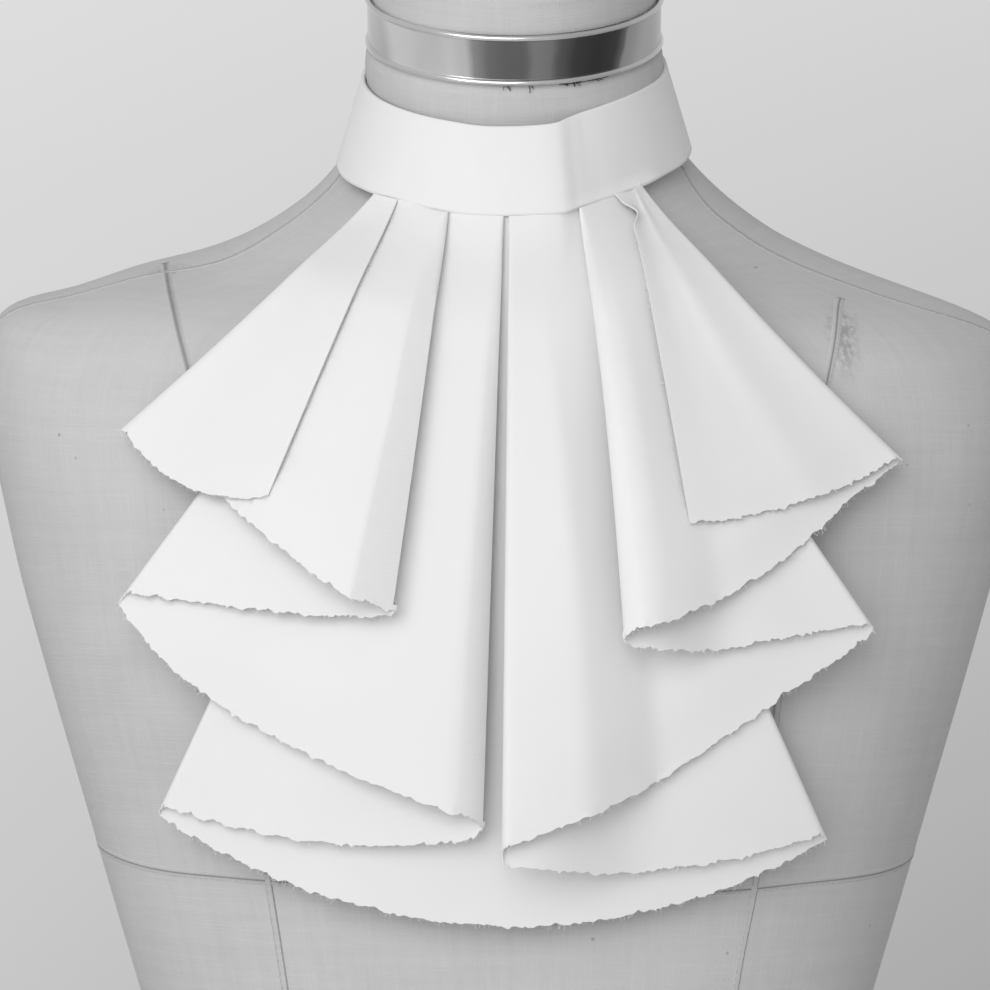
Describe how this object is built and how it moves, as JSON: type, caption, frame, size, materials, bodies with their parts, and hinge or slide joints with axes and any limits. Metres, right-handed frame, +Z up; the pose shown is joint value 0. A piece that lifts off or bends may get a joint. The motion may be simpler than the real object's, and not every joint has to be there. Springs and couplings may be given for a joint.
{
  "type": "jabot collar on a dress form",
  "caption": "Stand collar with one wide folded ruffle falling over the chest, worn on a limbless tabletop dress form",
  "frame": {"origin": "centre of the flat underside of the dress form", "axes": "+Z up, the front of the collar faces -Y, +X is the wearer's left"},
  "size_m": [0.41, 0.2801, 0.7097],
  "materials": {
    "cotton": "matt, plain weave",
    "linen": "matt, coarse plain weave",
    "polished_metal": "polished"
  },
  "bodies": {
    "root": {"collar_band": "cotton", "ruffle": "cotton", "form_torso": "linen", "form_neck": "linen", "neck_ring": "polished_metal"}
  },
  "joints": []
}
